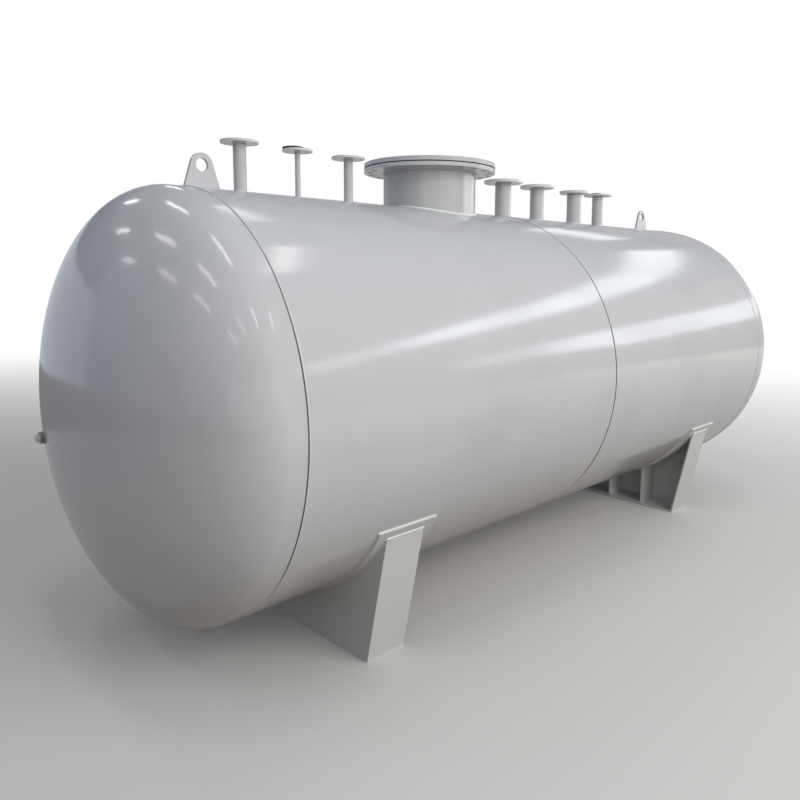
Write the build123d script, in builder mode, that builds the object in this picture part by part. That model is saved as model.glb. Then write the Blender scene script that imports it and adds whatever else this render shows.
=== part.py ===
"""Horizontal pressure tank on two saddles, with a manhole, top nozzles and lifting lugs.

Frame: +X along the tank from the near end to the far end, +Z up, origin on the floor under the
middle of the tank. Millimetres throughout.
"""

import os
from math import atan2, cos, radians, sin

from build123d import *

os.makedirs("parts", exist_ok=True)

# Shell and dished ends
shell_bore = 1800.0
shell_wall = 10.0
course_length = 2000.0
head_wall = 10.0
head_straight = 70.0
head_depth = 393.0
floor_to_shell = 190.0

# Girth welds
weld_width = 12.0
weld_height = 2.5

# Nozzle pipes, flanges and bolt circles, by nominal bore
pipe_20_diameter = 25.0
pipe_40_diameter = 45.0
pipe_50_diameter = 57.0
pipe_65_diameter = 76.0
pipe_80_diameter = 89.0
pipe_90_diameter = 98.0
flange_32_diameter = 140.0
flange_50_diameter = 165.0
flange_80_diameter = 200.0
flange_100_diameter = 220.0
flange_110_diameter = 235.0
circle_32_diameter = 100.0
circle_50_diameter = 125.0
circle_80_diameter = 160.0
circle_100_diameter = 180.0
circle_110_diameter = 190.0
small_flange_bolts = 4
large_flange_bolts = 8
thin_flange = 10.0
thick_flange = 17.0
pipe_wall = 4.0
nozzle_rise = 222.0
flange_face_height = 2.0
flange_face_land = 6.0
flange_bolt_hole = 18.0
pipe_set_back = 6.0
shell_hole_land = 1.5

# Manhole
manhole_neck_diameter = 508.0
manhole_neck_wall = 10.0
manhole_flange_rim = 106.0
manhole_bolt_edge = 32.5
manhole_bolt_hole = 33.0
manhole_bolts = 20
manhole_rise = 214.0
manhole_flange_thickness = 19.0
manhole_gasket_thickness = 6.0
manhole_cover_thickness = 22.0
manhole_place_share = -0.2525

# Lifting lugs
lug_inset = 124.0
lug_thickness = 16.0
lug_foot_width = 160.0
lug_foot_height = 10.0
lug_eye_height = 99.0
lug_eye_diameter = 56.0
lug_top_radius = 50.0

# Saddles
saddle_inset = 590.0
saddle_width = 212.0
wear_plate_width = 328.0
wear_plate_thickness = 10.0
wear_plate_half_angle = 59.0
end_plate_half_angle = 56.2
base_length = 1280.0
base_thickness = 12.0
web_thickness = 10.0
end_plate_thickness = 10.0
rib_thickness = 8.0
rib_set_back = 30.0
ribs_per_saddle = 4
anchor_end = 80.0
anchor_edge = 66.0
anchor_hole = 28.0
anchor_slot_length = 60.0

# Half coupling and plug on the near head
coupling_across = 425.0
coupling_drop = 145.0
coupling_diameter = 50.0
coupling_rise = 18.0
plug_across_flats = 32.0
plug_rise = 17.0

# Every cut runs this far past the face it opens, and curved faces that meet stay this far apart
cut_overrun = 20.0
seat_gap = 0.2

shell_inside = shell_bore / 2
shell_radius = shell_inside + shell_wall
head_radius = shell_inside + head_wall
axis_height = floor_to_shell + shell_radius
crest_height = axis_height + shell_radius
seat_radius = shell_radius + seat_gap
wear_radius = seat_radius + wear_plate_thickness
saddle_seat_radius = wear_radius + seat_gap
manhole_flange_diameter = manhole_neck_diameter + 2 * manhole_flange_rim
manhole_circle_diameter = manhole_flange_diameter - 2 * manhole_bolt_edge

# Each nozzle: place along the tank as a share of a course, then its pipe, flange, bolt circle,
# bolt count and flange thickness
nozzle_place_shares = {
    "first": -0.846,
    "second": -0.693,
    "third": -0.541,
    "fourth": 0.072,
    "fifth": 0.248,
    "sixth": 0.464,
    "seventh": 0.616,
}
nozzle_sizes = {
    "first": (pipe_50_diameter, flange_50_diameter, circle_50_diameter, small_flange_bolts, thin_flange),
    "second": (pipe_20_diameter, flange_32_diameter, circle_32_diameter, small_flange_bolts, thin_flange),
    "third": (pipe_40_diameter, flange_50_diameter, circle_50_diameter, small_flange_bolts, thin_flange),
    "fourth": (pipe_90_diameter, flange_110_diameter, circle_110_diameter, large_flange_bolts, thick_flange),
    "fifth": (pipe_80_diameter, flange_100_diameter, circle_100_diameter, large_flange_bolts, thick_flange),
    "sixth": (pipe_90_diameter, flange_80_diameter, circle_80_diameter, large_flange_bolts, thick_flange),
    "seventh": (pipe_65_diameter, flange_80_diameter, circle_80_diameter, large_flange_bolts, thin_flange),
}
nozzle_x = {name: share * course_length for name, share in nozzle_place_shares.items()}
manhole_x = manhole_place_share * course_length


def keep(piece, name):
    """Label a finished piece and write it out."""
    piece.part.label = name
    export_step(piece.part, f"parts/{name}.step")


def on_round(radius, angle):
    """Point on a circle about the tank axis, by its angle from straight down, in a cross-section."""
    turn = radians(angle)
    return (radius * sin(turn), axis_height - radius * cos(turn))


def cut_round(radius, low, high):
    """Take a cylinder about the tank axis, from x = low to x = high, out of the open part."""
    with BuildSketch(Plane.YZ.offset(low)) as disc:
        with Locations((0, axis_height)):
            Circle(radius)
    extrude(disc.sketch, amount=high - low, mode=Mode.SUBTRACT)


# Dished ends: a half-section with its local x along the tank axis, turned about that axis.
def head_plane(side):
    return Plane(origin=(side * course_length, 0, axis_height), x_dir=(side, 0, 0), z_dir=(0, -side, 0))


def dished_end(side, hollow):
    plane = head_plane(side)
    with BuildPart() as end:
        with BuildSketch(plane):
            with BuildLine():
                Line((0, 0), (0, head_radius))
                Line((0, head_radius), (head_straight, head_radius))
                EllipticalCenterArc((head_straight, 0), head_depth + head_wall, head_radius, 0, arc_size=90)
                Line((head_straight + head_depth + head_wall, 0), (0, 0))
            make_face()
            if hollow:
                with BuildLine():
                    Line((0, 0), (0, shell_inside))
                    Line((0, shell_inside), (head_straight, shell_inside))
                    EllipticalCenterArc((head_straight, 0), head_depth, shell_inside, 0, arc_size=90)
                    Line((head_straight + head_depth, 0), (0, 0))
                make_face(mode=Mode.SUBTRACT)
        revolve(axis=Axis(plane.origin, plane.x_dir))
    return end


keep(dished_end(-1, hollow=True), "near_head")
keep(dished_end(1, hollow=True), "far_head")


# Shell courses: rolled rings with the nozzle and manhole holes cut through the crest.
shell_holes = [(manhole_x, manhole_neck_diameter / 2 - manhole_neck_wall - shell_hole_land)]
for name, sizes in nozzle_sizes.items():
    shell_holes.append((nozzle_x[name], sizes[0] / 2 - pipe_wall - shell_hole_land))

for course_name, course_start in (("near_shell_course", -course_length), ("far_shell_course", 0)):
    with BuildPart() as course:
        with BuildSketch(Plane.YZ.offset(course_start)):
            with Locations((0, axis_height)):
                Circle(shell_radius)
                Circle(shell_inside, mode=Mode.SUBTRACT)
        extrude(amount=course_length)
        with BuildSketch(Plane.XY.offset(axis_height)):
            for hole_x, hole_radius in shell_holes:
                if course_start < hole_x < course_start + course_length:
                    with Locations((hole_x, 0)):
                        Circle(hole_radius)
        extrude(amount=shell_radius + cut_overrun, mode=Mode.SUBTRACT)
    keep(course, course_name)


# Girth welds: a low rounded bead over each seam.
for weld_name, weld_x in (("near", -course_length), ("middle", 0), ("far", course_length)):
    with BuildPart() as weld:
        with BuildSketch(Plane(origin=(weld_x, 0, axis_height), x_dir=(1, 0, 0), z_dir=(0, -1, 0))):
            with BuildLine():
                bead_foot = (-weld_width / 2, seat_radius)
                bead_toe = (weld_width / 2, seat_radius)
                ThreePointArc(bead_foot, (0, seat_radius + weld_height), bead_toe)
                Line(bead_toe, bead_foot)
            make_face()
        revolve(axis=Axis((weld_x, 0, axis_height), (1, 0, 0)))
    keep(weld, f"{weld_name}_seam_weld")


# Nozzles: a pipe with a saddle-cut foot set on the shell, and a flat flange slipped over its top.
for name, sizes in nozzle_sizes.items():
    pipe_diameter, flange_diameter, circle_diameter, bolt_count, flange_thickness = sizes
    x = nozzle_x[name]
    with BuildPart() as pipe:
        with BuildSketch(Plane.XY.offset(axis_height)):
            with Locations((x, 0)):
                Circle(pipe_diameter / 2)
                Circle(pipe_diameter / 2 - pipe_wall, mode=Mode.SUBTRACT)
        extrude(amount=shell_radius + nozzle_rise - pipe_set_back)
        cut_round(seat_radius, x - pipe_diameter, x + pipe_diameter)
    keep(pipe, f"{name}_nozzle_pipe")

    flange_top = crest_height + nozzle_rise - flange_face_height
    with BuildPart() as flange:
        with BuildSketch(Plane.XY.offset(flange_top - flange_thickness)):
            with Locations((x, 0)):
                Circle(flange_diameter / 2)
                Circle(pipe_diameter / 2, mode=Mode.SUBTRACT)
                with PolarLocations(circle_diameter / 2, bolt_count, start_angle=180 / bolt_count):
                    Circle(flange_bolt_hole / 2, mode=Mode.SUBTRACT)
        extrude(amount=flange_thickness)
        with BuildSketch(Plane.XY.offset(flange_top)):
            with Locations((x, 0)):
                Circle((circle_diameter - flange_bolt_hole) / 2 - flange_face_land)
                Circle(pipe_diameter / 2, mode=Mode.SUBTRACT)
        extrude(amount=flange_face_height)
    keep(flange, f"{name}_nozzle_flange")


# Manhole: a wide neck set on the shell, its flange, a flat gasket and a blind cover.
with BuildPart() as manhole_neck:
    with BuildSketch(Plane.XY.offset(axis_height)):
        with Locations((manhole_x, 0)):
            Circle(manhole_neck_diameter / 2)
            Circle(manhole_neck_diameter / 2 - manhole_neck_wall, mode=Mode.SUBTRACT)
    extrude(amount=shell_radius + manhole_rise - pipe_set_back)
    cut_round(seat_radius, manhole_x - manhole_neck_diameter, manhole_x + manhole_neck_diameter)
keep(manhole_neck, "manhole_neck")

with BuildPart() as manhole_flange:
    with BuildSketch(Plane.XY.offset(crest_height + manhole_rise - manhole_flange_thickness)):
        with Locations((manhole_x, 0)):
            Circle(manhole_flange_diameter / 2)
            Circle(manhole_neck_diameter / 2, mode=Mode.SUBTRACT)
            with PolarLocations(manhole_circle_diameter / 2, manhole_bolts):
                Circle(manhole_bolt_hole / 2, mode=Mode.SUBTRACT)
    extrude(amount=manhole_flange_thickness)
keep(manhole_flange, "manhole_flange")

with BuildPart() as manhole_gasket:
    with BuildSketch(Plane.XY.offset(crest_height + manhole_rise)):
        with Locations((manhole_x, 0)):
            Circle(manhole_flange_diameter / 2)
            Circle(manhole_neck_diameter / 2, mode=Mode.SUBTRACT)
            with PolarLocations(manhole_circle_diameter / 2, manhole_bolts):
                Circle(manhole_bolt_hole / 2, mode=Mode.SUBTRACT)
    extrude(amount=manhole_gasket_thickness)
keep(manhole_gasket, "manhole_gasket")

with BuildPart() as manhole_cover:
    with BuildSketch(Plane.XY.offset(crest_height + manhole_rise + manhole_gasket_thickness)):
        with Locations((manhole_x, 0)):
            Circle(manhole_flange_diameter / 2)
            with PolarLocations(manhole_circle_diameter / 2, manhole_bolts):
                Circle(manhole_bolt_hole / 2, mode=Mode.SUBTRACT)
    extrude(amount=manhole_cover_thickness)
keep(manhole_cover, "manhole_cover")


# Lifting lugs: a plate along the crest with an eye, a round top and straight flanks that meet it smoothly.
for lug_name, side in (("near_lifting_lug", -1), ("far_lifting_lug", 1)):
    lug_x = side * (course_length - lug_inset)
    lug_plane = Plane(origin=(lug_x, lug_thickness / 2, crest_height), x_dir=(1, 0, 0), z_dir=(0, -1, 0))
    with BuildPart() as lug:
        with BuildSketch(lug_plane):
            with Locations((0, lug_eye_height)):
                Circle(lug_top_radius)
            with Locations((0, lug_foot_height)):
                Rectangle(lug_foot_width, lug_foot_height + lug_thickness, align=(Align.CENTER, Align.MAX))
            make_hull()
            with Locations((0, lug_eye_height)):
                Circle(lug_eye_diameter / 2, mode=Mode.SUBTRACT)
        extrude(amount=lug_thickness)
        cut_round(seat_radius, lug_x - lug_foot_width, lug_x + lug_foot_width)
    keep(lug, lug_name)


# Saddles: a curved wear plate on the shell, a web towards the tank's end, leaning end plates,
# ribs on the inner side and a base plate. Round anchor holes near, slots for heat growth far.
base_half = base_length / 2
rib_pitch = base_length / (ribs_per_saddle + 1)
end_top = on_round(saddle_seat_radius, end_plate_half_angle)
end_lean = atan2(end_top[0] - base_half, end_top[1] - base_thickness)
end_plate_slant = end_plate_thickness / cos(end_lean)

for saddle, side in (("near_saddle", -1), ("far_saddle", 1)):
    saddle_x = side * (course_length - saddle_inset)
    outer_face = saddle_x + side * saddle_width / 2
    low_face = saddle_x - saddle_width / 2
    high_face = saddle_x + saddle_width / 2

    with BuildPart() as wear_plate:
        with BuildSketch(Plane.YZ.offset(saddle_x - wear_plate_width / 2)):
            with BuildLine():
                outer_arc = ThreePointArc(
                    on_round(wear_radius, -wear_plate_half_angle),
                    on_round(wear_radius, 0),
                    on_round(wear_radius, wear_plate_half_angle),
                )
                inner_arc = ThreePointArc(
                    on_round(seat_radius, -wear_plate_half_angle),
                    on_round(seat_radius, 0),
                    on_round(seat_radius, wear_plate_half_angle),
                )
                Line(outer_arc @ 0, inner_arc @ 0)
                Line(outer_arc @ 1, inner_arc @ 1)
            make_face()
        extrude(amount=wear_plate_width)
    keep(wear_plate, f"{saddle}_wear_plate")

    with BuildPart() as web:
        with BuildSketch(Plane.YZ.offset(outer_face)):
            with BuildLine():
                Polyline(
                    (-base_half + end_plate_slant, base_thickness),
                    (base_half - end_plate_slant, base_thickness),
                    (end_top[0] - end_plate_slant, end_top[1]),
                    (-end_top[0] + end_plate_slant, end_top[1]),
                    close=True,
                )
            make_face()
        extrude(amount=-side * web_thickness)
        cut_round(saddle_seat_radius, low_face - cut_overrun, high_face + cut_overrun)
    keep(web, f"{saddle}_web")

    for end_name, end_side in (("front", -1), ("back", 1)):
        with BuildPart() as end_plate:
            with BuildSketch(Plane.YZ.offset(low_face)):
                with BuildLine():
                    Polyline(
                        (end_side * base_half, base_thickness),
                        (end_side * end_top[0], end_top[1]),
                        (end_side * (end_top[0] - end_plate_slant), end_top[1]),
                        (end_side * (base_half - end_plate_slant), base_thickness),
                        close=True,
                    )
                make_face()
            extrude(amount=saddle_width)
            cut_round(saddle_seat_radius, low_face - cut_overrun, high_face + cut_overrun)
        keep(end_plate, f"{saddle}_{end_name}_end_plate")

    rib_reach = saddle_width - web_thickness - rib_set_back
    rib_x = outer_face - side * (web_thickness + rib_reach / 2)
    with BuildPart() as ribs:
        with BuildSketch(Plane.XY.offset(base_thickness)):
            with Locations((rib_x, 0)):
                with GridLocations(0, rib_pitch, 1, ribs_per_saddle):
                    Rectangle(rib_reach, rib_thickness)
        extrude(amount=axis_height - base_thickness)
        cut_round(saddle_seat_radius, low_face - cut_overrun, high_face + cut_overrun)
    keep(ribs, f"{saddle}_ribs")

    anchor_x = saddle_x - side * (saddle_width / 2 - anchor_edge)
    anchor_y = base_half - anchor_end
    with BuildPart() as base_plate:
        with BuildSketch(Plane.XY):
            with Locations((saddle_x, 0)):
                Rectangle(saddle_width, base_length)
            with Locations((anchor_x, anchor_y), (anchor_x, -anchor_y)):
                if side < 0:
                    Circle(anchor_hole / 2, mode=Mode.SUBTRACT)
                else:
                    SlotOverall(anchor_slot_length, anchor_hole, mode=Mode.SUBTRACT)
        extrude(amount=base_thickness)
    keep(base_plate, f"{saddle}_base_plate")


# Half coupling on the near head, off the axis, and the hexagon plug screwed into it.
coupling_radius = (coupling_across**2 + coupling_drop**2) ** 0.5
coupling_seat = (head_depth + head_wall) * (1 - (coupling_radius / head_radius) ** 2) ** 0.5
coupling_face = -course_length - head_straight - coupling_seat - coupling_rise
near_head_solid = dished_end(-1, hollow=False)

with BuildPart() as coupling:
    with BuildSketch(Plane.YZ.offset(coupling_face)):
        with Locations((coupling_across, axis_height - coupling_drop)):
            Circle(coupling_diameter / 2)
    extrude(amount=coupling_rise + coupling_diameter)
    add(near_head_solid.part, mode=Mode.SUBTRACT)
keep(coupling, "head_coupling")

with BuildPart() as plug:
    with BuildSketch(Plane.YZ.offset(coupling_face)):
        with Locations((coupling_across, axis_height - coupling_drop)):
            RegularPolygon(plug_across_flats / 2, 6, major_radius=False)
    extrude(amount=-plug_rise)
keep(plug, "head_plug")
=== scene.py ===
"""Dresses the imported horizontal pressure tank: gloss enamel, weld beads, gasket, floor and light.

Metres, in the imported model's frame: +X along the tank from the near end to the far end, +Z up,
origin on the floor under the middle of the tank.
"""

from math import asin, cos, pi, radians, sin, sqrt, tau

import bpy
from mathutils import Matrix, Vector


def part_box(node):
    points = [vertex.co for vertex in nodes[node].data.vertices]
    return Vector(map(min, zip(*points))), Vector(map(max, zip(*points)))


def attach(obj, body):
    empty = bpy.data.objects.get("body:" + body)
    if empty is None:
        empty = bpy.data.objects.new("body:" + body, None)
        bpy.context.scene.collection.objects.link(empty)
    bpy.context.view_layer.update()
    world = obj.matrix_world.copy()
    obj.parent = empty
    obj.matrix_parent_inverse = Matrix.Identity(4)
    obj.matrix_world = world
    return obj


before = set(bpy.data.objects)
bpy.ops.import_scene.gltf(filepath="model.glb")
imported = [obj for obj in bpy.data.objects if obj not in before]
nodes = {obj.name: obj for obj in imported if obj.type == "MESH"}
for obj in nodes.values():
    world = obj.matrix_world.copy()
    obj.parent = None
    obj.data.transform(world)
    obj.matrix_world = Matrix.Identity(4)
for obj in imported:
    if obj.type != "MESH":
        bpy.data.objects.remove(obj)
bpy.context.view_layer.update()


# Camera: a wide lens at chest height off the near end's corner, tipped a little downwards.
# Its shift only sets the frame where the photograph has it.
eye = Vector((-3.4043, -2.8403, 1.6628))
heading, dip, cant = radians(45.09), radians(-7.167), radians(0.35)
ahead = Vector((cos(heading) * cos(dip), sin(heading) * cos(dip), sin(dip)))
level_right = Vector((sin(heading), -cos(heading), 0))
level_up = level_right.cross(ahead)
right = cos(cant) * level_right + sin(cant) * level_up
up = cos(cant) * level_up - sin(cant) * level_right
camera = bpy.data.objects.new("camera", bpy.data.cameras.new("camera"))
camera.data.sensor_width = 36.0
camera.data.lens = 32.25
camera.data.shift_x, camera.data.shift_y = -0.0246, -0.0458
camera.matrix_world = Matrix(
    [[*axis, place] for axis, place in zip(zip(right, up, -ahead), eye)] + [[0, 0, 0, 1]]
)
bpy.context.scene.collection.objects.link(camera)
bpy.context.scene.camera = camera


# Shell courses and dished ends: rolled and pressed steel plate, sprayed with light grey gloss
# enamel after all welding. The plate keeps a faint waviness that bends long reflections.
def linear(hex_colour):
    """An sRGB hex colour as the linear colour that a shader socket takes."""
    shares = [int(hex_colour[i : i + 2], 16) / 255 for i in (1, 3, 5)]
    return (*(s / 12.92 if s <= 0.04045 else ((s + 0.055) / 1.055) ** 2.4 for s in shares), 1.0)


def add(tree, kind, settings=(), links=()):
    """Add a node, set its properties and sockets by name, and link sockets from other nodes."""
    node = tree.nodes.new(kind)
    for name, value in dict(settings).items():
        if isinstance(name, str) and hasattr(node, name):
            setattr(node, name, value)
        else:
            node.inputs[name].default_value = value
    for name, (source, socket) in dict(links).items():
        tree.links.new(source.outputs[socket], node.inputs[name])
    return node


def empty_material(name):
    """A material whose node tree holds nothing yet."""
    material = bpy.data.materials.new(name)
    material.use_nodes = True
    material.node_tree.nodes.clear()
    return material


def enamel(name, wave_size, wave_height, paint_hex="#C5C6C7", dust_hex="#AFB0B0"):
    """Light grey gloss alkyd enamel: an even colour, a clear soft-edged reflection, a thin dust."""
    cloud_size = 0.55
    # Orange peel of sprayed enamel is about 2 mm across; it is drawn at 9 mm so that it shows.
    peel_size, peel_height = 0.009, 0.0002
    paint = empty_material(name)
    tree = paint.node_tree
    place = add(tree, "ShaderNodeTexCoord")
    cloud = add(
        tree,
        "ShaderNodeTexNoise",
        {"Scale": 1 / cloud_size, "Detail": 4.0, "Roughness": 0.6},
        {"Vector": (place, "Object")},
    )
    dust = add(
        tree,
        "ShaderNodeMapRange",
        {"From Min": 0.45, "From Max": 0.8, "To Min": 0.0, "To Max": 0.35},
        {"Value": (cloud, "Fac")},
    )
    colour = add(
        tree,
        "ShaderNodeMix",
        {"data_type": "RGBA", 6: linear(paint_hex), 7: linear(dust_hex)},
        {0: (dust, "Result")},
    )
    sheen = add(
        tree, "ShaderNodeMapRange", {"To Min": 0.10, "To Max": 0.16}, {"Value": (cloud, "Fac")}
    )
    plate = add(
        tree,
        "ShaderNodeTexNoise",
        {"Scale": 1 / wave_size, "Detail": 1.0},
        {"Vector": (place, "Object")},
    )
    wave = add(
        tree,
        "ShaderNodeBump",
        {"Strength": 1.0, "Distance": wave_height},
        {"Height": (plate, "Fac")},
    )
    peel_grain = add(
        tree,
        "ShaderNodeTexNoise",
        {"Scale": 1 / peel_size, "Detail": 1.0},
        {"Vector": (place, "Object")},
    )
    peel = add(
        tree,
        "ShaderNodeBump",
        {"Strength": 0.25, "Distance": peel_height},
        {"Height": (peel_grain, "Fac"), "Normal": (wave, "Normal")},
    )
    gloss = add(
        tree,
        "ShaderNodeBsdfPrincipled",
        {"IOR": 1.5},
        {"Base Color": (colour, 2), "Roughness": (sheen, "Result"), "Normal": (peel, "Normal")},
    )
    add(tree, "ShaderNodeOutputMaterial", {}, {"Surface": (gloss, "BSDF")})
    return paint


def dress(material, *names):
    """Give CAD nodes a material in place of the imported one."""
    for name in names:
        nodes[name].data.materials.clear()
        nodes[name].data.materials.append(material)


plate_enamel = enamel("gloss_enamel_on_rolled_plate", wave_size=0.7, wave_height=0.004)
dress(plate_enamel, "near_shell_course", "far_shell_course", "near_head", "far_head")


# Girth welds: a low rippled bead round each seam. The near and middle beads take a lighter copy of
# the plate enamel as a painted highlight, and the far one takes the plate enamel. Along the toe on
# the near side of the near and middle beads, a thin band is painted dark as painted shade, so each
# shows as a thin dark line beside a bright one.
half_course = 1.0
toe_shade_full_to, toe_shade_none_from = -0.0015, -0.0005
shade_line_gone_below, shade_line_full_above = 0.44, 0.62
crest_thins_from, crest_thin_from, crest_share = 1.3, 1.9, 0.5
# Lighter than the plate enamel: a painted highlight along the bead.
seam_enamel_painted_light = enamel(
    "gloss_enamel_over_girth_weld_with_painted_shade",
    wave_size=0.03,
    wave_height=0.0015,
    paint_hex="#D4D5D5",
    dust_hex="#BFC0C0",
)
tree = seam_enamel_painted_light.node_tree
gloss = next(node for node in tree.nodes if node.bl_idname == "ShaderNodeBsdfPrincipled")
bead_paint = gloss.inputs["Base Color"].links[0].from_node
place = add(tree, "ShaderNodeTexCoord")
split = add(tree, "ShaderNodeSeparateXYZ", {}, {"Vector": (place, "Object")})
# Both welds lie at whole courses of 2 m along X, so wrapping X gives the distance from either.
across_weld = add(
    tree,
    "ShaderNodeMath",
    {"operation": "WRAP", 1: half_course, 2: -half_course},
    {0: (split, "X")},
)
# Painted shade: a thin band just on the near side of the weld toe turns dark grey.
toe = add(
    tree,
    "ShaderNodeMapRange",
    {"From Min": toe_shade_full_to, "From Max": toe_shade_none_from, "To Min": 1.0, "To Max": 0.0},
    {"Value": (across_weld, 0)},
)
# The painted shade line fades out towards the bottom and is weaker near the crest.
shade_line_above_bottom = add(
    tree,
    "ShaderNodeMapRange",
    {"From Min": shade_line_gone_below, "From Max": shade_line_full_above},
    {"Value": (split, "Z")},
)
below_crest = add(
    tree,
    "ShaderNodeMapRange",
    {
        "From Min": crest_thins_from,
        "From Max": crest_thin_from,
        "To Min": 1.0,
        "To Max": crest_share,
    },
    {"Value": (split, "Z")},
)
sides = add(
    tree,
    "ShaderNodeMath",
    {"operation": "MULTIPLY"},
    {0: (shade_line_above_bottom, "Result"), 1: (below_crest, "Result")},
)
toe_painted_shade = add(
    tree, "ShaderNodeMath", {"operation": "MULTIPLY"}, {0: (toe, "Result"), 1: (sides, 0)}
)
# Mix the dark grey of the painted shade into the bead's paint.
seam_colour = add(
    tree,
    "ShaderNodeMix",
    {"data_type": "RGBA", 7: linear("#585857")},
    {0: (toe_painted_shade, 0), 6: (bead_paint, 2)},
)
tree.links.new(seam_colour.outputs[2], gloss.inputs["Base Color"])
dress(seam_enamel_painted_light, "near_seam_weld", "middle_seam_weld")
dress(plate_enamel, "far_seam_weld")


# Nozzles: seamless steel pipes set on the shell, with slip-on flanges, in gloss enamel. Pipes,
# flanges and fillets take copies of one enamel in tones that paint light: the pipes a little darker
# as painted shade, the flanges lighter as painted bounce light, and the foot fillets near white as
# a painted highlight. Each joint has a hand-laid fillet bead, and the tree sweeps a rippled bead
# along any path.
fitting_enamel = enamel("gloss_enamel_on_fittings", wave_size=0.2, wave_height=0.0004)
# A darker copy of the plate enamel: painted shade on the pipes and the manhole neck.
pipe_enamel_painted_shade = enamel(
    "gloss_enamel_on_pipes_darker_as_painted_shade",
    wave_size=0.2,
    wave_height=0.0004,
    paint_hex="#BEBFBE",
    dust_hex="#A9AAA8",
)
# A near-white copy of the plate enamel: a painted highlight on the fillet beads.
fillet_enamel_painted_highlight = enamel(
    "near_white_enamel_on_fillets_as_painted_highlight",
    wave_size=0.05,
    wave_height=0.0004,
    paint_hex="#F2F2F0",
    dust_hex="#DADAD7",
)
# A lighter copy of the plate enamel: painted bounce light on the flange rims and undersides.
flange_enamel_painted_light = enamel(
    "gloss_enamel_on_flanges_lighter_as_painted_light",
    wave_size=0.2,
    wave_height=0.0004,
    paint_hex="#D6D7D6",
    dust_hex="#C0C1BF",
)
nozzle_names = ("first", "second", "third", "fourth", "fifth", "sixth", "seventh")
for nozzle in nozzle_names:
    dress(pipe_enamel_painted_shade, f"{nozzle}_nozzle_pipe")
    dress(flange_enamel_painted_light, f"{nozzle}_nozzle_flange")

steps_per_ripple, bead_sides = 4, 8
bead_tree = bpy.data.node_groups.new("fillet_weld_bead", "GeometryNodeTree")
bead_sockets = bead_tree.interface
bead_sockets.new_socket("Path", in_out="INPUT", socket_type="NodeSocketGeometry")
bead_inputs = {}
for socket_name, kind in (
    ("Bead Radius", "NodeSocketFloat"),
    ("Ripple Pitch", "NodeSocketFloat"),
    ("Ripple Depth", "NodeSocketFloat"),
    ("Paint", "NodeSocketMaterial"),
):
    socket = bead_sockets.new_socket(socket_name, in_out="INPUT", socket_type=kind)
    bead_inputs[socket_name] = socket.identifier
bead_sockets.new_socket("Bead", in_out="OUTPUT", socket_type="NodeSocketGeometry")
given = add(bead_tree, "NodeGroupInput")
stride = add(
    bead_tree,
    "ShaderNodeMath",
    {"operation": "MULTIPLY", 1: 1 / steps_per_ripple},
    {0: (given, "Ripple Pitch")},
)
stepped = add(
    bead_tree,
    "GeometryNodeResampleCurve",
    {"mode": "LENGTH"},
    {"Curve": (given, "Path"), "Length": (stride, 0)},
)
along = add(bead_tree, "GeometryNodeSplineParameter")
ripples = add(
    bead_tree,
    "ShaderNodeMath",
    {"operation": "DIVIDE"},
    {0: (along, "Length"), 1: (given, "Ripple Pitch")},
)
phase = add(
    bead_tree, "ShaderNodeMath", {"operation": "MULTIPLY", 1: tau}, {0: (ripples, 0)}
)
swell = add(bead_tree, "ShaderNodeMath", {"operation": "SINE"}, {0: (phase, 0)})
ripple = add(
    bead_tree,
    "ShaderNodeMath",
    {"operation": "MULTIPLY_ADD", 2: 1.0},
    {0: (swell, 0), 1: (given, "Ripple Depth")},
)
section = add(
    bead_tree,
    "GeometryNodeCurvePrimitiveCircle",
    {"Resolution": bead_sides},
    {"Radius": (given, "Bead Radius")},
)
swept = add(
    bead_tree,
    "GeometryNodeCurveToMesh",
    {"Fill Caps": True},
    {"Curve": (stepped, "Curve"), "Profile Curve": (section, "Curve"), "Scale": (ripple, 0)},
)
smooth = add(bead_tree, "GeometryNodeSetShadeSmooth", {}, {"Geometry": (swept, "Mesh")})
real = add(bead_tree, "GeometryNodeRealizeInstances", {}, {"Geometry": (smooth, "Geometry")})
painted = add(
    bead_tree,
    "GeometryNodeSetMaterial",
    {},
    {"Geometry": (real, "Geometry"), "Material": (given, "Paint")},
)
add(bead_tree, "NodeGroupOutput", {}, {"Bead": (painted, "Geometry")})


def lay_beads(name, paths, bead_radius, paint, ripple_pitch=0.012, ripple_depth=0.12):
    """Sweep beads along paths, each a list of points and whether it closes, as one mesh piece."""
    lines = bpy.data.curves.new(name, "CURVE")
    lines.dimensions = "3D"
    for points, closed in paths:
        line = lines.splines.new("POLY")
        line.points.add(len(points) - 1)
        for spot, point in zip(line.points, points):
            spot.co = (*point, 1)
        line.use_cyclic_u = closed
    guide = bpy.data.objects.new(f"{name}_guide", lines)
    bpy.context.scene.collection.objects.link(guide)
    sweep = guide.modifiers.new("bead", "NODES")
    sweep.node_group = bead_tree
    settings = {
        "Bead Radius": bead_radius,
        "Ripple Pitch": ripple_pitch,
        "Ripple Depth": ripple_depth,
        "Paint": paint,
    }
    for socket_name, value in settings.items():
        sweep[bead_inputs[socket_name]] = value
    depsgraph = bpy.context.evaluated_depsgraph_get()
    mesh = bpy.data.meshes.new_from_object(guide.evaluated_get(depsgraph))
    bpy.data.objects.remove(guide)
    beads = bpy.data.objects.new(name, mesh)
    bpy.context.scene.collection.objects.link(beads)
    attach(beads, "root")


shell_low, shell_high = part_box("near_shell_course")
axis_height = (shell_low.z + shell_high.z) / 2
shell_radius = (shell_high.z - shell_low.z) / 2


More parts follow.
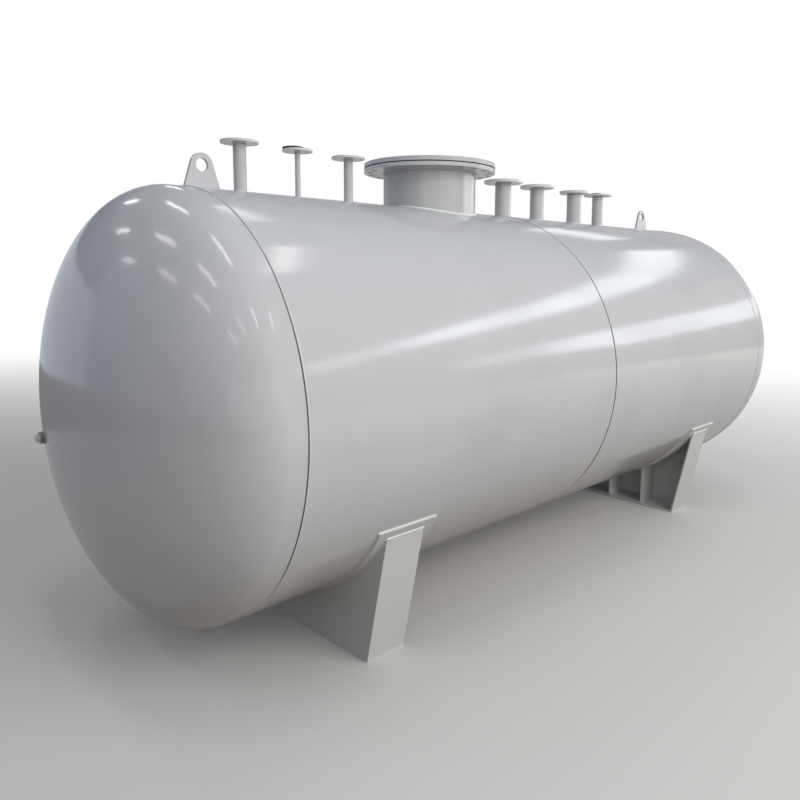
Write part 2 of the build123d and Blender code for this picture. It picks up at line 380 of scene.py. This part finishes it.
def ring_on_shell(centre_x, radius, sink, steps=96):
    """Closed path where an upright pipe meets the shell, a little outside the corner."""
    points = []
    for step in range(steps):
        turn = tau * step / steps
        across = radius * sin(turn)
        outward = Vector((cos(turn), sin(turn), 0))
        rise = sqrt(shell_radius**2 - across**2)
        shell_normal = Vector((0, across, rise)) / shell_radius
        corner = Vector((centre_x + radius * cos(turn), across, axis_height + rise))
        points.append(corner + sink * (outward + shell_normal).normalized())
    return points, True


def level_ring(centre_x, radius, height, steps=64):
    """Closed level circle round an upright pipe."""
    turns = [tau * step / steps for step in range(steps)]
    points = [
        Vector((centre_x + radius * cos(turn), radius * sin(turn), height)) for turn in turns
    ]
    return points, True


foot_bead, neck_bead, sink_share = 0.005, 0.0035, 1 / 5
foot_paths, neck_paths = [], []
for nozzle in nozzle_names:
    pipe_low, pipe_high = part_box(f"{nozzle}_nozzle_pipe")
    flange_low, flange_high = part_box(f"{nozzle}_nozzle_flange")
    pipe_x, pipe_radius = (pipe_low.x + pipe_high.x) / 2, (pipe_high.x - pipe_low.x) / 2
    foot_paths.append(ring_on_shell(pipe_x, pipe_radius, foot_bead * sink_share))
    neck_paths.append(level_ring(pipe_x, pipe_radius, flange_low.z))
lay_beads("nozzle_foot_welds", foot_paths, foot_bead, fillet_enamel_painted_highlight)
lay_beads("nozzle_flange_welds", neck_paths, neck_bead, fitting_enamel)


# Long seams: each course is one steel plate rolled round and closed by a straight weld. They
# lie at the back, one higher than the other, and are painted as the fittings are.
seam_bead, seam_sink, seam_end = 0.0065, 0.004, 0.008
seam_paths = []
for course, turn_degrees in (("near_shell_course", 38), ("far_shell_course", 62)):
    course_low, course_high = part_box(course)
    turn = radians(turn_degrees)
    across = (shell_radius - seam_sink) * cos(turn)
    height = axis_height + (shell_radius - seam_sink) * sin(turn)
    ends = (course_low.x + seam_end, course_high.x - seam_end)
    seam_paths.append(([Vector((x, across, height)) for x in ends], False))
lay_beads("long_seam_welds", seam_paths, seam_bead, fitting_enamel)


# Manhole: a wide rolled steel neck with its flange, a flat rubber gasket and a blind plate cover.
# The neck takes the pipes' darker tone as painted shade. It has a fillet on the shell, painted near
# white as a painted highlight, and a slightly smaller one under the flange.
dress(pipe_enamel_painted_shade, "manhole_neck")
dress(fitting_enamel, "manhole_flange", "manhole_cover")
manhole_foot_bead, manhole_neck_bead = 0.006, 0.005
neck_low, neck_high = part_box("manhole_neck")
manhole_x, manhole_radius = (neck_low.x + neck_high.x) / 2, (neck_high.x - neck_low.x) / 2
manhole_foot = ring_on_shell(manhole_x, manhole_radius, manhole_foot_bead * sink_share, steps=192)
manhole_top = level_ring(manhole_x, manhole_radius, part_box("manhole_flange")[0].z, steps=128)
lay_beads("manhole_foot_weld", [manhole_foot], manhole_foot_bead, fillet_enamel_painted_highlight)
lay_beads("manhole_flange_weld", [manhole_top], manhole_neck_bead, fitting_enamel)

# Black nitrile sheet: dull, nearly black, with a fine moulded grain.
rubber_grain_size = 0.004
rubber = empty_material("black_nitrile_sheet")
tree = rubber.node_tree
place = add(tree, "ShaderNodeTexCoord")
grain = add(
    tree,
    "ShaderNodeTexNoise",
    {"Scale": 1 / rubber_grain_size, "Detail": 2.0},
    {"Vector": (place, "Object")},
)
shade = add(
    tree,
    "ShaderNodeMix",
    {"data_type": "RGBA", 6: linear("#0A0A0B"), 7: linear("#161617")},
    {0: (grain, "Fac")},
)
rough = add(
    tree, "ShaderNodeBump", {"Strength": 0.3, "Distance": 0.0002}, {"Height": (grain, "Fac")}
)
sheet = add(
    tree,
    "ShaderNodeBsdfPrincipled",
    {"Roughness": 0.75, "IOR": 1.52},
    {"Base Color": (shade, 2), "Normal": (rough, "Normal")},
)
add(tree, "ShaderNodeOutputMaterial", {}, {"Surface": (sheet, "BSDF")})
dress(rubber, "manhole_gasket")


# Rubber blanks: two moulded black discs laid loose on nozzles. Each has a rounded rim and lies a
# little off the middle of its flange, towards the side where the flange rim shows dark, so the
# discs also stand in for painted shade there.
def rubber_blank_as_painted_shade(name, flange, radius, thickness, slip):
    """A round-edged disc on a flange's face, slipped sideways by slip."""
    flange_low, flange_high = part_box(flange)
    centre = (flange_low + flange_high) / 2 + Vector((*slip, 0))
    rim, sides, rim_steps = thickness / 3, 56, 4
    profile = []
    for height, start in ((rim, -pi / 2), (thickness - rim, 0)):
        for step in range(rim_steps + 1):
            turn = start + pi / 2 * step / rim_steps
            out = radius - rim + rim * cos(turn)
            profile.append((out, flange_high.z + height + rim * sin(turn)))
    turns = [tau * side / sides for side in range(sides)]
    points = [
        (centre.x + out * cos(turn), centre.y + out * sin(turn), height)
        for out, height in profile
        for turn in turns
    ]
    faces = []
    for start in range(0, (len(profile) - 1) * sides, sides):
        for side in range(sides):
            near, far = start + side, start + (side + 1) % sides
            faces.append((near, far, far + sides, near + sides))
    faces.append(tuple(reversed(range(sides))))
    faces.append(tuple(range((len(profile) - 1) * sides, len(profile) * sides)))
    mesh = bpy.data.meshes.new(name)
    mesh.from_pydata(points, [], faces)
    for face in mesh.polygons:
        face.use_smooth = len(face.vertices) == 4
    mesh.materials.append(rubber)
    blank = bpy.data.objects.new(name, mesh)
    bpy.context.scene.collection.objects.link(blank)
    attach(blank, "root")


# Each slip moves a disc towards the dark side of its rim: painted shade drawn as a black disc.
for nozzle, radius, slip in (
    ("second_nozzle", 0.050, (-0.014, 0.014)),
    ("seventh_nozzle", 0.040, (-0.008, 0.008)),
):
    rubber_blank_as_painted_shade(f"{nozzle}_blank", f"{nozzle}_flange", radius, thickness=0.009, slip=slip)


# Lifting lugs: flame-cut steel plates that stand on the crest along the tank. They are welded
# all round their feet and painted as the fittings are.
dress(fitting_enamel, "near_lifting_lug", "far_lifting_lug")
lug_bead = 0.006
lug_paths = []
for lug in ("near_lifting_lug", "far_lifting_lug"):
    low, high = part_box(lug)
    crest = axis_height + sqrt(shell_radius**2 - high.y**2)
    corners = ((low.x, low.y), (high.x, low.y), (high.x, high.y), (low.x, high.y))
    lug_paths.append(([Vector((x, y, crest)) for x, y in corners], True))
lay_beads("lug_foot_welds", lug_paths, lug_bead, fitting_enamel)


# Saddles: plate weldments that carry the shell on curved wear plates, in gloss enamel. The wear
# plate is welded all round; web, end plates and ribs have fillets on it, and the beads along its
# ends and on the end plates' tops are painted near white as a painted highlight.
saddle_bead, end_bead, wear_bead = 0.005, 0.004, 0.003
saddle_enamel = enamel(
    "gloss_enamel_on_flame_cut_plate",
    wave_size=0.2,
    wave_height=0.0004,
    paint_hex="#CECFCC",
    dust_hex="#B6B7B3",
)
rib_count, rib_thickness, end_plate_thickness = 4, 0.008, 0.010
plates = ("wear_plate", "web", "front_end_plate", "back_end_plate", "ribs", "base_plate")


def under_shell(x, turn, radius):
    """Point on a circle about the tank axis, by its turn from straight down."""
    return Vector((x, radius * sin(turn), axis_height - radius * cos(turn)))


def arc_turns(half_angle, steps=64):
    """Even turns from one side of straight down to the other."""
    return [half_angle * (2 * step / steps - 1) for step in range(steps + 1)]


for saddle, outward in (("near_saddle", -1), ("far_saddle", 1)):
    dress(saddle_enamel, *(f"{saddle}_{plate}" for plate in plates))
    wear_low, wear_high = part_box(f"{saddle}_wear_plate")
    web_low, web_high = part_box(f"{saddle}_web")
    end_low, end_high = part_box(f"{saddle}_front_end_plate")
    rib_low, rib_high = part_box(f"{saddle}_ribs")
    base_low, base_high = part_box(f"{saddle}_base_plate")
    wear_radius = axis_height - wear_low.z
    wear_angle = asin(wear_high.y / wear_radius)
    wear_ends = (wear_low.x, wear_high.x)
    saddle_paths = [
        ([under_shell(x, turn, shell_radius) for turn in arc_turns(wear_angle)], False)
        for x in wear_ends
    ]
    wear_paths = [
        ([under_shell(x, turn, shell_radius) for x in wear_ends], False)
        for turn in (-wear_angle, wear_angle)
    ]
    end_angle = asin(-end_low.y / wear_radius)
    for x in (web_low.x, web_high.x):
        web_top = [under_shell(x, turn, wear_radius) for turn in arc_turns(end_angle)]
        saddle_paths.append((web_top, False))
    end_paths = [
        ([under_shell(x, turn, wear_radius) for x in (end_low.x, end_high.x)], False)
        for turn in (-end_angle, end_angle)
    ]
    inner_x = web_high.x if outward < 0 else web_low.x
    open_x = end_high.x if outward < 0 else end_low.x
    rib_end_x = rib_high.x if outward < 0 else rib_low.x
    foot_half = base_high.y - end_plate_thickness
    base_top = base_high.z
    web_foot = [Vector((inner_x, side * foot_half, base_top)) for side in (-1, 1)]
    saddle_paths.append((web_foot, False))
    for side in (-1, 1):
        end_foot = [Vector((x, side * foot_half, base_top)) for x in (inner_x, open_x)]
        saddle_paths.append((end_foot, False))
    rib_pitch = (rib_high.y - rib_low.y - rib_thickness) / (rib_count - 1)
    for rib in range(rib_count):
        rib_side = rib_low.y + rib * rib_pitch
        for y in (rib_side, rib_side + rib_thickness):
            wear_face = axis_height - sqrt(wear_radius**2 - y**2)
            corners = (
                (rib_end_x, wear_face),
                (inner_x, wear_face),
                (inner_x, base_top),
                (rib_end_x, base_top),
            )
            saddle_paths.append(([Vector((x, y, z)) for x, z in corners], False))
    lay_beads(f"{saddle}_welds", saddle_paths, saddle_bead, saddle_enamel)
    lay_beads(f"{saddle}_wear_edge_welds", wear_paths, wear_bead, fillet_enamel_painted_highlight)
    lay_beads(f"{saddle}_end_plate_welds", end_paths, end_bead, fillet_enamel_painted_highlight)


# Half coupling and plug on the near head: a threaded steel boss welded on, under a darker enamel,
# closed by a hexagon plug of zinc-plated steel.
coupling_enamel = enamel(
    "darker_enamel_on_coupling",
    wave_size=0.05,
    wave_height=0.0004,
    paint_hex="#8A8B85",
    dust_hex="#6E6F69",
)
dress(coupling_enamel, "head_coupling")
coupling_bead, coupling_steps, head_straight = 0.004, 48, 0.070
coupling_low, coupling_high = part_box("head_coupling")
head_low, head_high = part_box("near_head")
coupling_middle = (coupling_low + coupling_high) / 2
coupling_radius = (coupling_high.y - coupling_low.y) / 2
dish_start = head_high.x - head_straight
dish_depth = dish_start - head_low.x
coupling_path = []
for step in range(coupling_steps):
    turn = tau * step / coupling_steps
    y = coupling_middle.y + coupling_radius * cos(turn)
    z = coupling_middle.z + coupling_radius * sin(turn)
    dish = sqrt(1 - (y**2 + (z - axis_height) ** 2) / shell_radius**2)
    coupling_path.append(Vector((dish_start - dish_depth * dish, y, z)))
lay_beads(
    "coupling_weld", [(coupling_path, True)], coupling_bead, coupling_enamel, ripple_pitch=0.008
)

# Zinc-plated steel: pale grey, satin, with faint clouds of dulled plating.
plating_cloud_size = 0.008
zinc = empty_material("zinc_plated_steel")
tree = zinc.node_tree
place = add(tree, "ShaderNodeTexCoord")
oxide = add(
    tree,
    "ShaderNodeTexNoise",
    {"Scale": 1 / plating_cloud_size, "Detail": 3.0},
    {"Vector": (place, "Object")},
)
tone = add(
    tree,
    "ShaderNodeMix",
    {"data_type": "RGBA", 6: linear("#F2F2F1"), 7: linear("#DCDBD8")},
    {0: (oxide, "Fac")},
)
steel = add(
    tree,
    "ShaderNodeBsdfPrincipled",
    {"Metallic": 1.0, "Roughness": 0.45},
    {"Base Color": (tone, 2)},
)
add(tree, "ShaderNodeOutputMaterial", {}, {"Surface": (steel, "BSDF")})
dress(zinc, "head_plug")


# Floor: a pale matt sheet that keeps the tank's shadow and fades into the white background, once
# for the photograph's side and once for the sides behind its camera. It gives back less and
# warmer light than the colour that the camera and reflections see.
floor_half = 40
white_middle, white_from, white_to = (-9.0, -3.0, 0.0), 9.5, 20.0
near_white_middle, near_white_from, near_white_to = (4.0, 1.0, 0.0), 12.0, 16.5


def shown_ray(tree):
    """Add the nodes that tell rays of the camera, of reflections and through glass from light."""
    path = add(tree, "ShaderNodeLightPath")
    seen = add(
        tree,
        "ShaderNodeMath",
        {"operation": "MAXIMUM"},
        {0: (path, "Is Camera Ray"), 1: (path, "Is Glossy Ray")},
    )
    return add(
        tree,
        "ShaderNodeMath",
        {"operation": "MAXIMUM"},
        {0: (seen, 0), 1: (path, "Is Transmission Ray")},
    )


floor_mesh = bpy.data.meshes.new("floor")
floor_mesh.from_pydata(
    [(x * floor_half, y * floor_half, 0) for x, y in ((-1, -1), (1, -1), (1, 1), (-1, 1))],
    [],
    [(0, 1, 2, 3)],
)
floor = bpy.data.objects.new("floor", floor_mesh)
bpy.context.scene.collection.objects.link(floor)
floor_paint = empty_material("pale_matt_floor")
tree = floor_paint.node_tree
shown = shown_ray(tree)
place = add(tree, "ShaderNodeTexCoord")
fades = []
for middle, fade_from, fade_to in (
    (white_middle, white_from, white_to),
    (near_white_middle, near_white_from, near_white_to),
):
    reach = add(
        tree,
        "ShaderNodeVectorMath",
        {"operation": "DISTANCE", 1: middle},
        {0: (place, "Object")},
    )
    fade = add(
        tree,
        "ShaderNodeMapRange",
        {"interpolation_type": "SMOOTHSTEP", "From Min": fade_from, "From Max": fade_to},
        {"Value": (reach, "Value")},
    )
    fades.append((fade, "Result"))
whole_fade = add(
    tree, "ShaderNodeMath", {"operation": "MAXIMUM"}, {0: fades[0], 1: fades[1]}
)
shown_fade = add(
    tree, "ShaderNodeMath", {"operation": "MULTIPLY"}, {0: (whole_fade, 0), 1: (shown, 0)}
)
lit = add(tree, "ShaderNodeBsdfDiffuse", {"Color": linear("#7A6B57")})
pale = add(tree, "ShaderNodeBsdfDiffuse", {"Color": linear("#D8D5D0")})
matt = add(tree, "ShaderNodeMixShader", {}, {0: (shown, 0), 1: (lit, 0), 2: (pale, 0)})
clear = add(tree, "ShaderNodeBsdfTransparent")
faded = add(tree, "ShaderNodeMixShader", {}, {0: (shown_fade, 0), 1: (matt, 0), 2: (clear, 0)})
add(tree, "ShaderNodeOutputMaterial", {}, {"Surface": (faded, 0)})
floor_mesh.materials.append(floor_paint)


# Studio walls, carpets and ceiling: plain lit cloths that the camera doesn't see. Walls and
# ceiling give soft light and reflections; the carpets lie on the floor for reflections alone.
wall_centre, wall_height = Vector((-2.4, 0, 0)), 8.6
far_wall_reach, near_wall_reach, side_band_height = 22.0, 13.5, 4.4
carpet_from, far_carpet_to, side_carpet_to, carpet_height = 5.0, 21.9, 13.4, 0.004
ceiling_half, arc_step_degrees = 22.5, 5


def studio_cloth(name, points, faces, colour_hex, radiance):
    """A sheet of evenly lit cloth that the camera doesn't see."""
    mesh = bpy.data.meshes.new(name)
    mesh.from_pydata(points, [], faces)
    sheet = bpy.data.objects.new(name, mesh)
    bpy.context.scene.collection.objects.link(sheet)
    sheet.visible_camera = False
    cloth = empty_material(f"{name}_cloth")
    tree = cloth.node_tree
    glow = add(tree, "ShaderNodeEmission", {"Color": linear(colour_hex), "Strength": radiance})
    add(tree, "ShaderNodeOutputMaterial", {}, {"Surface": (glow, 0)})
    mesh.materials.append(cloth)
    return sheet


def studio_arc(name, rims, turn_from, turn_to, colour_hex, radiance):
    """A sheet between two arcs, each a reach and a height, over two headings in degrees."""
    steps = round((turn_to - turn_from) / arc_step_degrees)
    turns = [
        radians(turn_from + (turn_to - turn_from) * step / steps) for step in range(steps + 1)
    ]
    points = [
        wall_centre + Vector((reach * cos(turn), reach * sin(turn), height))
        for reach, height in rims
        for turn in turns
    ]
    faces = [(i, i + 1, i + steps + 2, i + steps + 1) for i in range(steps)]
    return studio_cloth(name, points, faces, colour_hex, radiance)


for name, reach, low, high, turn_from, turn_to, colour_hex, radiance in (
    ("far_wall", far_wall_reach, 0, wall_height, -60, 80, "#F8F9FB", 0.50),
    ("side_wall", near_wall_reach, 0, side_band_height, 74, 122, "#E0E8F4", 0.85),
    ("side_wall_top", near_wall_reach, side_band_height, wall_height, 74, 122, "#C3D2F0", 0.25),
    ("near_wall", near_wall_reach, 0, wall_height, 122, 210, "#C3D2F0", 0.55),
):
    studio_arc(name, ((reach, low), (reach, high)), turn_from, turn_to, colour_hex, radiance)
for name, carpet_to, turn_from, turn_to, radiance in (
    ("far_carpet", far_carpet_to, 5, 75, 0.85),
    ("side_carpet", side_carpet_to, 75, 240, 0.30),
):
    rims = ((carpet_from, carpet_height), (carpet_to, carpet_height))
    carpet = studio_arc(name, rims, turn_from, turn_to, "#D8D5D0", radiance)
    carpet.visible_diffuse = carpet.visible_shadow = False
ceiling_corners = [
    wall_centre + Vector((x * ceiling_half, y * ceiling_half, wall_height))
    for x, y in ((-1, -1), (-1, 1), (1, 1), (1, -1))
]
studio_cloth("ceiling", ceiling_corners, [(0, 1, 2, 3)], "#E2E7EF", 0.38)


# Lamps: a broad soft key and a low fill on the camera's side, which reflections don't show, lit
# strips past the far end that make the long streaks, and rows of softboxes under the ceiling.
def lamp(name, place, aim, width, height, radiance):
    """A rectangular softbox; its power follows from how bright its face looks."""
    data = bpy.data.lights.new(name, "AREA")
    data.shape = "RECTANGLE"
    data.size, data.size_y = width, height
    data.energy = radiance * pi * width * height
    softbox = bpy.data.objects.new(name, data)
    softbox.location = place
    softbox.rotation_euler = (Vector(aim) - Vector(place)).to_track_quat("-Z", "Y").to_euler()
    bpy.context.scene.collection.objects.link(softbox)
    return softbox


tank_middle = (0, 0, 1.1)
for name, place, width, height, radiance in (
    ("broad_key", (0.2, -8.2, 4.4), 7.0, 5.0, 4.2),
    ("low_fill", (-7.0, -6.5, 2.2), 7.0, 3.5, 0.45),
):
    lamp(name, place, tank_middle, width, height, radiance).visible_glossy = False

strip_x, strip_white, strip_cream = 10.0, "#F4F8FF", "#FBF6E2"
# Each end of a strip is its Y and the heights of its lower and upper edge.
for name, (y1, low1, high1), (y2, low2, high2), colour_hex, radiance in (
    ("high_strip_1", (-16.5, 6.6, 7.9), (-11.5, 6.8, 7.9), strip_white, 3.5),
    ("high_strip_2", (-11.5, 6.8, 7.9), (-8.0, 6.6, 7.8), strip_white, 7.0),
    ("high_strip_3", (-8.0, 6.6, 7.8), (-4.6, 6.35, 7.6), strip_white, 5.0),
    ("high_strip_4", (-4.6, 6.35, 7.6), (-2.0, 6.0, 7.2), strip_white, 3.4),
    ("high_strip_5", (-2.0, 6.0, 7.2), (0.9, 5.8, 6.9), strip_white, 2.6),
    ("low_strip_1", (-10.8, 3.2, 4.0), (-8.2, 2.9, 4.1), strip_white, 2.2),
    ("low_strip_2", (-8.2, 2.9, 4.1), (-6.0, 2.5, 4.0), strip_white, 4.4),
    ("low_strip_3", (-6.0, 2.5, 4.0), (-3.6, 2.6, 3.7), strip_white, 2.8),
    ("low_strip_4", (-3.6, 2.6, 3.7), (1.2, 2.7, 3.6), strip_white, 2.4),
    ("crest_strip", (2.5, 6.0, 6.9), (4.6, 6.6, 7.8), strip_white, 2.2),
    ("floor_strip", (-9.0, 0.2, 0.7), (-3.2, 0.2, 0.7), strip_cream, 1.3),
):
    points = [
        (strip_x, y1, low1),
        (strip_x, y2, low2),
        (strip_x, y2, high2),
        (strip_x, y1, high1),
    ]
    studio_cloth(name, points, [(0, 1, 2, 3)], colour_hex, radiance)

roof_height, roof_width, roof_length, roof_radiance = 8.0, 0.36, 2.2, 9.0
dimmed_roof = {(2.4, 3.5): 2.5, (2.4, -1.2): 6.0}
for roof_x in (2.4, -2.7, -6.8, -10.6):
    for roof_y in (-6.9, -1.2, 3.5, 9.7):
        radiance = dimmed_roof.get((roof_x, roof_y), roof_radiance)
        place, aim = (roof_x, roof_y, roof_height), (roof_x, roof_y, 0)
        lamp(f"roof_{roof_x}_{roof_y}", place, aim, roof_width, roof_length, radiance)


# Surroundings: white where the camera and reflections look past the studio, and a weak cool
# light elsewhere, so that the white background adds no light to the tank.
world = bpy.data.worlds.new("white_surroundings")
bpy.context.scene.world = world
world.use_nodes = True
tree = world.node_tree
tree.nodes.clear()
ambient = add(tree, "ShaderNodeBackground", {"Color": linear("#EAEEF3"), "Strength": 0.35})
white = add(tree, "ShaderNodeBackground", {"Color": (1, 1, 1, 1), "Strength": 1.0})
shown = shown_ray(tree)
mixed = add(tree, "ShaderNodeMixShader", {}, {0: (shown, 0), 1: (ambient, 0), 2: (white, 0)})
add(tree, "ShaderNodeOutputWorld", {}, {"Surface": (mixed, 0)})

bpy.context.scene.view_settings.view_transform = "Standard"
